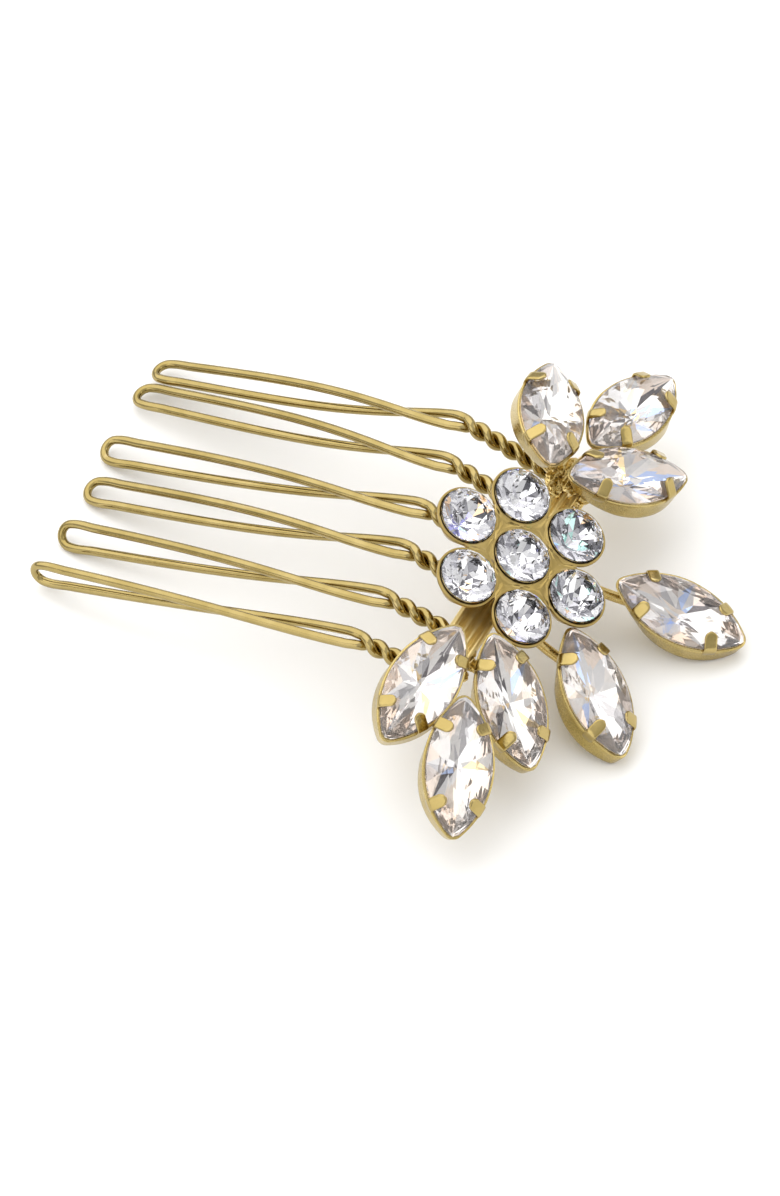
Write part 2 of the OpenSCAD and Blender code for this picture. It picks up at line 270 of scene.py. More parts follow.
def oval(length, width, tip_r):
    """Pointed oval with rounded ends, as (x, y) points."""
    half = length / 2 - tip_r
    big_r = (half * half + width * width / 4 - tip_r * tip_r) / (width - 2 * tip_r)
    lean = math.asin(half / (big_r - tip_r))
    low = [(big_r * math.sin(a), big_r - width / 2 - big_r * math.cos(a))
           for a in np.linspace(-lean, lean, 2 * OVAL_STEPS + 1)]
    turn = np.linspace(lean - math.pi / 2, math.pi / 2 - lean, TIP_STEPS + 2)[1:-1]
    tip = [(half + tip_r * math.cos(a), tip_r * math.sin(a)) for a in turn]
    return low + tip + [(-x, -y) for x, y in low + tip]


def smooth_path(points, step):
    """Smooth curve through points, with samples at most a step apart."""
    lengths = np.linalg.norm(np.diff(points, axis=0), axis=1)
    slopes = np.diff(points, axis=0) / lengths[:, None]
    before, after = lengths[:-1, None], lengths[1:, None]
    middle = (slopes[:-1] * after + slopes[1:] * before) / (before + after)
    tangents = np.vstack([slopes[:1], middle, slopes[-1:]])
    out = []
    for i, length in enumerate(lengths):
        n = max(2, math.ceil(length / step))
        for t in np.arange(n) / n:
            out.append((2 * t ** 3 - 3 * t * t + 1) * points[i]
                       + (t ** 3 - 2 * t * t + t) * length * tangents[i]
                       + (3 * t * t - 2 * t ** 3) * points[i + 1]
                       + (t ** 3 - t * t) * length * tangents[i + 1])
    return np.array(out + [points[-1]])


def sweep(path, radii, sides):
    """Round tube along a path, with a radius at each point, and no twist between its rings."""
    tangents = np.gradient(path, axis=0)
    tangents /= np.linalg.norm(tangents, axis=1)[:, None]
    aside = (0.3, 0.2, 1)                # any direction that the path doesn't start in
    across = np.cross(tangents[0], aside)
    angles = 2 * np.pi * np.arange(sides) / sides
    rings = []
    for p, t, r in zip(path, tangents, radii):
        across = across - across.dot(t) * t
        across /= np.linalg.norm(across)
        up = np.cross(t, across)
        rings.append([p + r * (math.cos(a) * across + math.sin(a) * up) for a in angles])
    return loft(rings)


def blob(centre, size, lump, seed, top=None):
    """Lumpy rounded bead, with a half size in X, Y and Z. Nothing of it stands above top."""
    bm = bmesh.new()
    bmesh.ops.create_icosphere(bm, subdivisions=4, radius=1)
    for v in bm.verts:
        n = noise.fractal(v.co * 1.6 + Vector((seed * 7.3, 0, 0)), 1.0, 2.0, 3)
        p = v.co * (1 - lump + lump * n)
        v.co = Vector(centre) + Vector((p.x * size[0], p.y * size[1], p.z * size[2]))
        if top is not None:
            v.co.z = min(v.co.z, top)
    part = [tuple(v.co) for v in bm.verts], [[v.index for v in f.verts] for f in bm.faces]
    bm.free()
    return part


# ------------------------------------------------------------ materials

CREVICE = 0.9                        # how far the gold looks round itself for crevices
DENT_DEPTH, GRAIN_DEPTH = 0.05, 0.006
EDGE_GAIN = (1.1, 1.12, 1.35)        # rubbed edges are this much brighter in red, green and blue
CREVICE_AMBER = (0.34, 0.20, 0.05, 1)
CLEAR = (1, 1, 1, 1)
SPECK = (0.55, 0.52, 0.5, 1)         # worn spots in a stone's foil


def new_material(name):
    """Material with its shader, and a function that adds a node with these input values."""
    material = bpy.data.materials.new(name)
    material.use_nodes = True
    tree = material.node_tree
    shader = tree.nodes["Principled BSDF"]

    def add(kind, settings=(), **inputs):
        node = tree.nodes.new("ShaderNode" + kind)
        for key, value in dict(settings).items():
            setattr(node, key, value)
        for key, value in inputs.items():
            socket = node.inputs[key.replace("_", " ")]
            if isinstance(value, bpy.types.NodeSocket):
                tree.links.new(value, socket)
            else:
                socket.default_value = value
        return node

    return material, shader, tree.links.new, add


def millimetres(add):
    """Position on the object, counted in millimetres, which rides with the object."""
    coords = add("TexCoord").outputs["Object"]
    scale = add("VectorMath", {"operation": "SCALE"}, Scale=1 / MM)
    scale.id_data.links.new(coords, scale.inputs[0])
    return scale.outputs[0]


def blend_colour(add, link, factor, a, b):
    """Mix of two colours. Each is a colour or a socket."""
    mix = add("Mix", {"data_type": "RGBA"})
    sockets = {0: factor, 6: a, 7: b}    # the Mix node's sockets for colours, which share names
    for index, value in sockets.items():
        if isinstance(value, bpy.types.NodeSocket):
            link(value, mix.inputs[index])
        else:
            mix.inputs[index].default_value = value
    return mix.outputs[2]                # its Result for colours


def ramp(add, link, value, low, high, out_low=0.0, out_high=1.0):
    """value from low..high brought to out_low..out_high, and held there beyond."""
    node = add("MapRange", From_Min=low, From_Max=high, To_Min=out_low, To_Max=out_high)
    link(value, node.inputs["Value"])
    return node.outputs["Result"]


def gold(name, light, deep, rough, grain=6.0, dent=0.3, amber=CREVICE_AMBER, metal=1.0):
    """Satin gold plate, whose tone drifts between light and deep, turns to amber in crevices
    and is brighter on edges.

    rough is its lowest and highest roughness, grain the fineness of its finish, and dent the
    strength of its dents.
    """
    material, shader, link, add = new_material(name)
    at = millimetres(add)
    drift = add("TexNoise", Vector=at, Scale=0.35, Detail=4.0).outputs["Fac"]
    tone = blend_colour(add, link, ramp(add, link, drift, 0.35, 0.65), light, deep)
    shade = add("AmbientOcclusion", {"samples": 4}, Distance=CREVICE * MM).outputs["AO"]
    tone = blend_colour(add, link, ramp(add, link, shade, 0.05, 0.5, 1, 0), tone, amber)
    edge = add("NewGeometry").outputs["Pointiness"]
    bright = (*(min(c * gain, 1) for c, gain in zip(light, EDGE_GAIN)), 1)
    tone = blend_colour(add, link, ramp(add, link, edge, 0.52, 0.62), tone, bright)
    link(tone, shader.inputs["Base Color"])
    fine = add("TexNoise", Vector=at, Scale=grain, Detail=5.0).outputs["Fac"]
    link(ramp(add, link, fine, 0.3, 0.7, *rough), shader.inputs["Roughness"])
    dents = add("TexNoise", Vector=at, Scale=1.1, Detail=2.0).outputs["Fac"]
    low = add("Bump", Strength=dent, Distance=DENT_DEPTH * MM, Height=dents).outputs["Normal"]
    bump = add("Bump", Strength=0.12, Distance=GRAIN_DEPTH * MM, Height=fine, Normal=low)
    link(bump.outputs["Normal"], shader.inputs["Normal"])
    shader.inputs["Metallic"].default_value = metal
    return material


def glass(name, tint, ior):
    """Clear crystal with faint handling marks in its polish."""
    material, shader, link, add = new_material(name)
    at = millimetres(add)
    marks = add("TexNoise", Vector=at, Scale=1.4, Detail=6.0).outputs["Fac"]
    link(ramp(add, link, marks, 0.55, 0.8, 0.0, 0.05), shader.inputs["Roughness"])
    haze = add("TexNoise", Vector=at, Scale=0.6, Detail=2.0).outputs["Fac"]
    tone = blend_colour(add, link, haze, tint, CLEAR)
    link(tone, shader.inputs["Base Color"])
    shader.inputs["Transmission Weight"].default_value = 1.0
    shader.inputs["IOR"].default_value = ior
    return material


def foil(name, metal, rough):
    """Mirror backing of a stone, whose colour changes from facet to facet: painted reflections and
    fire over the foil's own silver.
    """
    material, shader, link, add = new_material(name)
    # each facet's drawn tint: painted reflections and fire, or paler painted light near a leaf
    # stone's edge
    tint = add("Attribute", {"attribute_name": "facet_tint"}).outputs["Color"]
    at = millimetres(add)
    speck = add("TexNoise", Vector=at, Scale=2.0, Detail=4.0).outputs["Fac"]
    worn = ramp(add, link, speck, 0.3, 0.75, 0, 0.16)
    tone = blend_colour(add, link, worn, tint, SPECK)
    link(tone, shader.inputs["Base Color"])
    link(ramp(add, link, speck, 0.3, 0.7, *rough), shader.inputs["Roughness"])
    shader.inputs["Metallic"].default_value = metal
    return material


def paper(name):
    """Matt white paper, with a faint unevenness."""
    material, shader, link, add = new_material(name)
    at = millimetres(add)
    cloud = add("TexNoise", Vector=at, Scale=0.02, Detail=3.0).outputs["Fac"]
    tone = blend_colour(add, link, cloud, (0.96, 0.96, 0.96, 1), (0.98, 0.98, 0.98, 1))
    link(tone, shader.inputs["Base Color"])
    shader.inputs["Roughness"].default_value = 0.9
    return material


# The metals, each with its light and its deep tone and its range of roughness.
CAST = gold("satin_cast_gold", (0.47, 0.35, 0.13, 1), (0.39, 0.28, 0.09, 1), (0.3, 0.44),
            dent=0.15)
CUP = gold("satin_cup_gold", (0.54, 0.42, 0.165, 1), (0.44, 0.335, 0.105, 1), (0.18, 0.34),
           dent=0.4)
PRONG = gold("bright_prong_gold", (0.48, 0.37, 0.145, 1), (0.40, 0.305, 0.11, 1), (0.12, 0.26),
             dent=0.4)
WIRE = gold("drawn_wire_gold", (0.41, 0.32, 0.13, 1), (0.33, 0.25, 0.085, 1), (0.08, 0.2),
            grain=9.0, amber=(0.5, 0.36, 0.12, 1))
# The bar's gold is painted far paler than the other golds: painted light that lifts it out of the
# shade under the flower. Its crevice amber is nearly its own tone.
BAR = gold("bar_gold_painted_light", (0.94, 0.76, 0.36, 1), (0.9, 0.71, 0.31, 1), (0.28, 0.4),
           grain=2.5, dent=0.1, amber=(0.91, 0.72, 0.32, 1), metal=0.85)
SOLDER = gold("solder_gold_lumpy", (0.76, 0.59, 0.26, 1), (0.6, 0.44, 0.15, 1), (0.18, 0.36),
              dent=0.8)
# Insides of the seats and of the cups, with painted shade: near black in the seats, a painted
# shadow like that in the narrow gap round a stone, and a darker gold in the cups.
GAP = gold("painted_shadow_gap_gold", (0.05, 0.035, 0.012, 1), (0.02, 0.012, 0.005, 1), (0.5, 0.7))
SHADE = gold("shaded_cup_gold", (0.42, 0.31, 0.13, 1), (0.32, 0.23, 0.08, 1), (0.4, 0.6))
# The stones, each with its glass's tint and refractive index and its foil's metal and roughness.
ROUND_GLASS = glass("crystal_clear", (0.98, 0.975, 0.985, 1), 1.38)
ROUND_FOIL = foil("crystal_foil", 0.95, (0.01, 0.06))
LEAF_GLASS = glass("crystal_clear_leaf", (0.96, 0.935, 0.91, 1), 1.36)
LEAF_FOIL = foil("crystal_foil_leaf", 0.74, (0.01, 0.04))


# ------------------------------------------------------------ stones

# A stone has STARS stars round its table, and to each star two stretches of girdle.
STARS = 8
RIM_STEPS = 3                        # to each stretch of girdle
RIM_SAG = 0.06                       # the crown's edge dips by nearly this along each stretch
STAR_OUT, STAR_DROP = 0.73, 0.40     # shares of the outline and of the crown's height
PAVILION_FACETS = 6                  # to each star, the last two of them along the girdle
TILT = 1.5                           # degrees, the most that a round stone tilts each way
TOP_SPARE, LOW_SPARE = 0.07, 0.1     # a round stone's table and point stop short by these

# Shares of a stone's outline: table, girdle ledge, outer and inner corners of the pavilion.
ROUND_CUT = (0.56, 0.075, 0.56, 0.28)
LEAF_CUT = (0.44, 0.05, 0.42, 0.14)

# Tints of the foil facets and how often each is drawn: on a round stone, on a leaf-shaped one
# and near a leaf-shaped one's edge. The near whites are the foil's own silver; the greys, near
# blacks, blues and oranges are painted reflections and fire, and the pale tints near a leaf
# stone's edge are painted light that lifts its dim tips.
ROUND_SPARKLE = [((0.99, 0.99, 1.0), 44), ((0.86, 0.86, 0.89), 20), ((0.5, 0.5, 0.54), 14),
               ((0.13, 0.13, 0.15), 14), ((0.5, 0.5, 0.98), 2), ((0.6, 0.93, 0.87), 2),
               ((0.98, 0.66, 0.4), 3)]
LEAF_SPARKLE = [((0.9, 0.88, 0.87), 40), ((0.8, 0.79, 0.8), 20), ((0.88, 0.78, 0.69), 13),
              ((0.58, 0.57, 0.59), 14), ((0.15, 0.14, 0.15), 6), ((0.56, 0.68, 1.0), 5),
              ((1.0, 0.78, 0.46), 4)]
EDGE_SPARKLE = [((0.93, 0.89, 0.86), 38), ((0.92, 0.8, 0.71), 38), ((0.84, 0.83, 0.85), 18),
              ((0.7, 0.63, 0.6), 6)]


def paint_facet_sparkle(piece, sparkle, edge_sparkle, is_edge, seed):
    """Gives each facet a drawn tint of painted reflection or fire. Edge facets have their own, of
    painted light.
    """
    draw = random.Random(seed)
    layer = piece.data.attributes.new("facet_tint", "FLOAT_COLOR", "FACE")
    for i, value in enumerate(layer.data):
        colours, weights = zip(*(edge_sparkle if is_edge(i) else sparkle))
        value.color = (*draw.choices(colours, weights)[0], 1)


def outline_at(points):
    """Function from a share of the way round an outline to a point on it."""
    p = np.array(points + points[:1])
    run = np.concatenate([[0], np.cumsum(np.linalg.norm(np.diff(p, axis=0), axis=1))])
    return lambda t: np.array([np.interp(t % 1 * run[-1], run, p[:, i]) for i in (0, 1)])


def stone_rings(outline, levels, cut, start):
    """A stone's corners, and the numbers of those in each ring, from its table to its point.

    levels are the heights of the table, the girdle's two edges and the point below.
    """
    top, edge, under, low = levels
    table, inset, deep, core = cut
    verts = []

    def ring(share, heights, turn=0.0):
        first = len(verts)
        for i, z in enumerate(heights):
            x, y = outline((i + turn) / len(heights) + start) * share
            verts.append((x, y, z))
        return list(range(first, len(verts)))

    count = 2 * STARS * RIM_STEPS
    sag = [RIM_SAG * math.sin(math.pi * i / RIM_STEPS) for i in range(RIM_STEPS)]
    rings = [ring(table, [top] * STARS),
             ring(STAR_OUT, [top - STAR_DROP * (top - edge)] * STARS, 0.5),
             ring(1, [edge - sag[i % RIM_STEPS] for i in range(count)]),
             ring(1, [under] * count),
             ring(1 - inset, [under - 0.02] * count),
             ring(deep, [under - (1 - deep) * (under - low)] * STARS, 0.5),
             ring(core, [low + core * (under - low)] * STARS),
             ring(0, [low])]
    return verts, rings


def fans(corner, ring, here):
    """Two facets that spread from a corner to the next two stretches of a ring."""
    return [[corner] + [ring[(first + i) % len(ring)] for i in range(RIM_STEPS + 1)]
            for first in (here, here + RIM_STEPS)]


def crown_facets(tables, stars, rim):
    """The table, the stars, the halves of the kites and the upper girdle facets."""
    faces = [tables]
    for k in range(STARS):
        after, here = (k + 1) % STARS, 2 * k * RIM_STEPS
        faces.append([tables[k], stars[k], tables[after]])
        faces.append([tables[k], rim[here], stars[k]])
        faces.append([tables[k], stars[k - 1], rim[here]])
        faces += fans(stars[k], rim, here)
    return faces


def girdle_facets(rim, lower, ledge):
    """The girdle's upright band and the narrow ledge under it."""
    faces = []
    for i in range(len(rim)):
        j = (i + 1) % len(rim)
        faces.append([rim[i], lower[i], lower[j], rim[j]])
        faces.append([lower[i], ledge[i], ledge[j], lower[j]])
    return faces


def pavilion_facets(ledge, outer, inner, point):
    """The facets below the girdle, PAVILION_FACETS to each star."""
    faces = []
    for k in range(STARS):
        after, here = (k + 1) % STARS, 2 * k * RIM_STEPS
        faces.append([inner[k], outer[k], ledge[here]])
        faces.append([inner[k], ledge[here], outer[k - 1]])
        faces.append([inner[k], inner[after], outer[k]])
        faces.append([point[0], inner[k], inner[after]])
        faces += fans(outer[k], ledge, here)
    return faces


def brilliant(name, outline, levels, cut, start, node, m, looks):
    """Stone in a brilliant cut: a glass crown over a foiled girdle and pavilion.

    start is the share of the way round its outline at which its table's first corner lies. looks
    are its glass, its foil, the tints of its facets' painted reflections and fire, the paler painted
    light near its edge and their seed.
    """
    glass_look, foil_look, sparkle, edge_sparkle, seed = looks
    verts, (tables, stars, rim, lower, ledge, outer, inner, point) = stone_rings(
        outline, levels, cut, start)
    crown = crown_facets(tables, stars, rim)
    girdle = girdle_facets(rim, lower, ledge)
    pavilion = pavilion_facets(ledge, outer, inner, point)
    below = len(crown) + len(girdle)

    def is_edge(i):
        return i < below or (i - below) % PAVILION_FACETS >= PAVILION_FACETS - 2

    piece = make_piece(name, [(verts, crown + girdle + pavilion)], [glass_look, foil_look],
                       [node], m, smooth=False, second=lambda i: i >= len(crown))
    paint_facet_sparkle(piece, sparkle, edge_sparkle, is_edge, seed)


def round_stones():
    """The flower's stones, each turned at random and tilted a little in its seat."""
    circle = outline_at(arc((0, 0), ROUND_R - STONE_GAP, 0, 360, 241)[:-1])
    low, high = ROUND_EDGE.min(), ROUND_EDGE.max()
    levels = [z - low for z in (ROUND_TOP - TOP_SPARE, high, low, ROUND_LOW + LOW_SPARE)]
    for i, k in enumerate(STONE_KEYS):
        draw = random.Random(TILT_SEED + i)
        tilt = Matrix.Rotation(math.radians(draw.uniform(-TILT, TILT)), 4, "X")
        tilt @= Matrix.Rotation(math.radians(draw.uniform(-TILT, TILT)), 4, "Y")
        lift = Matrix.Translation(Vector((STONE_AT[k][0], STONE_AT[k][1], low)) * MM)
        looks = (ROUND_GLASS, ROUND_FOIL, ROUND_SPARKLE, ROUND_SPARKLE, ROUND_SEED + i)
        brilliant(f"round_crystal_{k}", circle, levels, ROUND_CUT, draw.random(),
                  f"flower_stone_{k}", COMB @ lift @ tilt, looks)


def leaf_crystals():
    """The leaves' stones, each with a corner of its table towards its outer tip."""
    length, width = LEAF_L - STONE_GAP, LEAF_W - STONE_GAP
    outline = outline_at(oval(length, width, TIP_R))
    levels = (LEAF_TOP, LEAF_EDGE.max(), CUP_H + 0.03, LEAF_LOW)
    tip = next(t for t in np.arange(0, 1, 0.001) if outline(t)[0] > length / 2 - 0.01)
    for k in range(1, LEAF_COUNT + 1):
        looks = (LEAF_GLASS, LEAF_FOIL, LEAF_SPARKLE, EDGE_SPARKLE, LEAF_SEED + k)
        brilliant(f"leaf_crystal_{k}", outline, levels, LEAF_CUT, tip, f"leaf_stone_{k}", LEAF[k],
                  looks)


# ------------------------------------------------------------ flower

INTO_SEAT = 0.06                     # how far a web's sides run into the seats
OVER = 6                             # degrees by which they go on round each seat
WEB_DROP, WEB_T = 0.015, 0.485       # a web's depth below the seats' rims, and its thickness


def seat_profile():
    """Closed profile of a seat, and how many of its points are outside the stone's hollow."""
    foot_r, foot_z = 1.84, 0.12          # where the cone starts to widen
    wall_low = RIM_TOP - 0.35            # where it ends
    inner, ledge_z = ROUND_R + 0.03, ROUND_EDGE.min() - 0.4
    outside = [(0.02, 0.0), (1.68, 0.0), (1.78, 0.04), (foot_r, foot_z)]
    outside += [(foot_r + (SEAT_R - foot_r) * t, foot_z + (wall_low - foot_z) * t)
                for t in np.linspace(0, 1, 8)[1:]]
    outside += [(SEAT_R, wall_low + 0.2), (SEAT_R, RIM_TOP - 0.07)]
    outside += arc((SEAT_R - 0.06, RIM_TOP - 0.06), 0.06, 20, 90, 4)
    outside += arc((inner + 0.04, RIM_TOP - 0.04), 0.04, 90, 150, 3)
    inside = [(inner, RIM_TOP - 0.06), (inner, ledge_z), (ROUND_R - 0.2, ledge_z),
              (0.5, 0.45), (0.02, 0.42)]
    return outside + inside, len(outside)


def flower_seats():
    """One seat to each round stone, with near-black painted shadow inside."""
    profile, outside = seat_profile()
    for i, k in enumerate(STONE_KEYS):
        ring = lathe(profile, STONE_AT[k], wobble=0.03, seed=i)
        # the faces inside the stone's hollow take the near-black painted shadow
        make_piece(f"flower_seat_{k}", [ring], [CAST, GAP], ["flower_setting"],
                   sharp=50, second=lambda n: n % len(profile) >= outside - 1)


def web_outline(centres):
    """Outline of the gap between three seats. Its hollow sides run a little into the seats."""
    edge = []
    for i, p in enumerate(centres):
        before, after = centres[i - 2] - p, centres[i - 1] - p
        start = math.degrees(math.atan2(after[1], after[0]))
        turn = math.degrees(math.atan2(before[1], before[0])) - start
        turn = (turn + 180) % 360 - 180
        over = math.copysign(OVER, turn)
        edge += arc(p, SEAT_R - INTO_SEAT, start - over, start + turn + over, 14)[::-1]
    return edge


def web(a, b, c, seed):
    """Web between three seats: a plate with three hollow sides and a dished top."""
    centres = [np.array(p[:2]) for p in (a, b, c)]
    middle = sum(centres) / 3
    edge = web_outline(centres)
    top = RIM_TOP - WEB_DROP
    under = top - WEB_T
    rings = []
    for scale, z in ((0.02, under), (0.9, under), (1.0, under + 0.05), (1.0, top - 0.02),
                     (0.97, top), (0.85, top - 0.01), (0.6, top - 0.03), (0.3, top - 0.04),
                     (0.02, top - 0.04)):
        ring = [middle + (np.array(p) - middle) * scale for p in edge]
        rings.append([(x, y, z + 0.02 * noise.noise((x * 0.8, y * 0.8, seed)))
                      for x, y in ring])
    return loft(rings)


def flower_webs():
    """A web between the centre seat and each two neighbours of the ring."""
    for k in range(1, PETAL_COUNT + 1):
        nxt = k % PETAL_COUNT + 1
        part = web(STONE_AT["centre"], STONE_AT[k], STONE_AT[nxt], k)
        make_piece(f"flower_web_{k}", [part], [CAST], ["flower_setting"], sharp=50)


# ------------------------------------------------------------ leaves

# A prong stands on each quarter of a cup.
QUARTERS = ((1, 1), (-1, 1), (-1, -1), (1, -1))
PRONG_AT = 4.4                       # along the leaf from its middle
PRONG_W = 1.4
PRONG_T, PRONG_TIP_T = 0.17, 0.12    # half its thickness, and that at its very tip
PRONG_OUT = 0.25                     # from the stone's edge out to its middle line
PRONG_ROOT = ((1.5, 0.15), (1.1, 0.1), (0.7, 0.04), (0.3, 0))        # down from the rim, inwards
PRONG_FOLD = ((0, -0.1), (0.03, 0.16), (0.16, 0.36), (0.38, 0.52))   # inwards, up from the stone
PRONG_REACH, PRONG_RISE = 1.3, 0.8   # how far its folded end reaches inwards, and its slope
PRONG_STEPS = 8

# A stem's radius as shares of the CAD's: away from its ends, added by solder at the ends, which
# fades over STEM_FADE, and unevenness.
STEM_R, STEM_SOLDER, STEM_UNEVEN = 0.97, 0.4, 0.03
STEM_FADE = 0.45


def cup_outline(z, out):
    """Outline of a cup at height z, out beyond the stone. The base is shorter than the rim."""
    t = 1 - z / CUP_H
    length = LEAF_L + 2 * out - (BASE_IN + BASE_OUT) * t
    shift = (BASE_IN - BASE_OUT) * t / 2
    return [(x + shift, y) for x, y in oval(length, LEAF_W + 2 * out, TIP_R + CUP_OUT)]


def cup_shell(seed):
    """Cup with a rounded rim and foot, and the number of its first face inside the rim."""
    out, inner = CUP_OUT, CUP_OUT - CUP_WALL
    foot = [(0.0, out - 0.5), (0.0, out - 0.15), (0.04, out - 0.05), (0.13, out)]
    wall = [(z, out) for z in np.linspace(0.13, CUP_H - 0.14, 7)[1:]]
    rim = [(CUP_H - 0.05, out - 0.02), (CUP_H, out - 0.08), (CUP_H - 0.01, out - 0.3),
           (CUP_H - 0.05, inner)]
    inside = [(CUP_H - 0.3, inner), (CUP_FLOOR + 0.2, inner), (CUP_FLOOR, inner - 0.2)]
    rings = []
    for z, o in foot + wall + rim + inside:
        ring = []
        for x, y in cup_outline(z, o):
            wave = noise.noise((x * 0.5 + seed * 9.0, y * 0.5, z * 0.6)) - 1
            pull = 1 + 0.03 * wave / math.hypot(x, y)
            ring.append((x * pull, y * pull, z))
        rings.append(ring)
    return loft(rings), (len(foot + wall + rim) - 1) * len(rings[0])


def prong_path(slope, reach):
    """Middle line of a prong as (out, up) points: it leans with the wall, then folds inwards."""
    top = LEAF_EDGE.max()
    path = [(PRONG_OUT - inwards - slope * down, CUP_H - down) for down, inwards in PRONG_ROOT]
    path += [(PRONG_OUT - inwards, top + up) for inwards, up in PRONG_FOLD]
    n, z = path[-1]
    return path + [(n - s, z + PRONG_RISE * s) for s in np.linspace(0, reach, PRONG_STEPS + 1)[1:]]


def signed_power(value, power):
    """value with its size raised to a power, and its own sign."""
    return math.copysign(abs(value) ** power, value)


def prong_ring(middle, over, half, thick):
    """Flat rounded section of a prong, hollowed a little on the side that over points to."""
    ring = []
    for c in np.radians(np.arange(0, 360, 15)):
        t = thick * signed_power(math.sin(c), 0.6)
        if t > 0:
            t *= 0.5 + 0.75 * abs(math.cos(c))
        ring.append(Vector((half * signed_power(math.cos(c), 0.5), *middle)) + over * t)
    return ring


def prong(at, side, width, bend):
    """Rounded tab that rises from a cup's wall and folds over the stone, on one side."""
    big_r = (LEAF_L ** 2 / 4 + LEAF_W ** 2 / 4) / LEAF_W
    lean = math.asin(at / big_r)
    edge = math.sqrt(big_r ** 2 - at ** 2) - (big_r - LEAF_W / 2)
    slope = (BASE_IN if side[0] < 0 else BASE_OUT) * math.sin(lean) / CUP_H
    reach = PRONG_REACH + bend
    path = prong_path(slope, reach)
    rings = []
    for i, middle in enumerate(path):
        a = path[max(i - 1, 0)]
        b = path[min(i + 1, len(path) - 1)]
        along = Vector((0, b[0] - a[0], b[1] - a[1])).normalized()
        left = (len(path) - 1 - i) / PRONG_STEPS * reach
        rounding = max(1 - left / (width * 0.45), 0)
        half = width / 2 * math.sqrt(max(1 - rounding ** 2, 0.02))
        thick = PRONG_T if left > 0.12 else PRONG_TIP_T
        ring = []
        for p in prong_ring(middle, Vector((0, -along.z, along.y)), half, thick):
            x = p.x * math.cos(lean) + p.y * math.sin(lean)
            y = p.y * math.cos(lean) - p.x * math.sin(lean)
            ring.append((side[0] * (at + x), side[1] * (edge + y), p.z))
        rings.append(ring)
    return loft(rings)


def leaf_cups():
    """Each leaf's shell, with painted shade inside, and its four prongs, no two of them alike."""
    for k in range(1, LEAF_COUNT + 1):
        draw = random.Random(PRONG_SEED + k)
        shell, inside = cup_shell(k)
        base = len(shell[1]) - 2         # the cap under the cup, which is not inside it
        make_piece(f"leaf_shell_{k}", [shell], [CUP, SHADE], [f"leaf_cup_{k}"],
                   LEAF[k], sharp=50, second=lambda n: n >= inside and n != base)
        for n, side in enumerate(QUARTERS, 1):
            at = PRONG_AT + draw.uniform(-0.12, 0.12)
            width = PRONG_W + draw.uniform(-0.1, 0.06)
            tab = prong(at, side, width, draw.uniform(-0.1, 0.06))
            make_piece(f"leaf_prong_{k}_{n}", [tab], [PRONG], [f"leaf_cup_{k}"],
                       LEAF[k])


def leaf_stems():
    """Stems that follow the CAD's, thicker with solder at both ends."""
    for k in range(1, LEAF_COUNT + 1):
        middle, radius = tube(f"leaf_stem_{k}")
        path = smooth_path(into(middle, COMB), 0.12)
        run = np.linspace(0, 1, len(path))
        ends = np.minimum(run, 1 - run) * np.linalg.norm(np.diff(path, axis=0), axis=1).sum()
        wander = np.array([noise.noise((s * 12, k * 5.1, 0)) for s in run])
        solder = STEM_SOLDER * np.exp(-ends / STEM_FADE)
        radii = radius * (STEM_R + solder + STEM_UNEVEN * wander)
        make_piece(f"stem_{k}", [sweep(path, radii, 20)], [SOLDER],
                   [f"leaf_stem_{k}"])


# ------------------------------------------------------------ comb

RIDGES, RIDGE_DEPTH = 4, 0.42
BAR_ROUND = 0.5                      # length over which the bar's ends are rounded
BAR_END_W = 0.72                     # share of its width that is left at its very ends
BAR_CORNER = 0.15
SPOT_W, SPOT_H = 0.85, 0.5           # width and height of a lump of solder to its length

# A tooth's radius as shares of the CAD's: away from its tip, taken off at the tip, which fades
# over TIP_FADE, and unevenness.
TOOTH_R, TIP_LESS, TOOTH_UNEVEN = 1.05, 0.10, 0.012
TIP_FADE = 1.2

# Lumps at an end of the bar: place along it, negative towards its middle, place across it, height
# and radius.
SOLDER_SPOTS = [(-0.6, -1.2, -0.75, 1.0), (-0.6, -0.1, -0.7, 1.0), (-0.6, 1.1, -0.75, 1.0),
                (-2.0, 1.3, -0.2, 0.9), (-2.4, -0.9, -0.2, 0.95), (-3.6, 0.3, -0.25, 0.8),
                (-0.3, 0.6, -0.1, 0.9), (-2.2, -2.1, -0.6, 1.0), (-3.8, -2.2, -0.7, 0.9),
                (-5.2, -1.6, -0.45, 0.8), (-1.3, 0.3, -0.2, 1.7), (-3.0, -0.5, -0.3, 1.7),
                (-4.5, 0.7, -0.4, 1.4), (-3.4, 1.6, -0.5, 1.3), (-1.6, 2.1, -0.6, 1.2)]


def bar_section(x):
    """The bar's outline at x: ridges on top, and narrower near its ends."""
    low_y, high_y, thick = BAR_LOW[1], BAR_HIGH[1], BAR_HIGH[2] - BAR_LOW[2]
    end = min(x - BAR_LOW[0], BAR_HIGH[0] - x)
    pinch = 1
    if end <= BAR_ROUND:
        rounding = math.sqrt(max(1 - (1 - end / BAR_ROUND) ** 2, 0))
        pinch = BAR_END_W + (1 - BAR_END_W) * rounding
    ring = []
    for y in np.linspace(low_y + 0.08, high_y - 0.08, 65):
        ridge = 0.5 - 0.5 * math.cos(2 * math.pi * (y - low_y) / (high_y - low_y) * RIDGES)
        wave = 0.5 + 0.5 * noise.noise((x * 0.12, y * 0.5, 3.0))
        ring.append((x, y * pinch, -RIDGE_DEPTH * (1 - ridge) ** 2 - 0.08 * wave))
    side = np.linspace(-RIDGE_DEPTH - BAR_CORNER, BAR_CORNER - thick, 6)
    ring += [(x, high_y * pinch, z) for z in side]
    ring += [(x, y * pinch, -thick) for y in np.linspace(high_y - 0.12, low_y + 0.12, 12)]
    ring += [(x, low_y * pinch, z) for z in side[::-1]]
    return ring


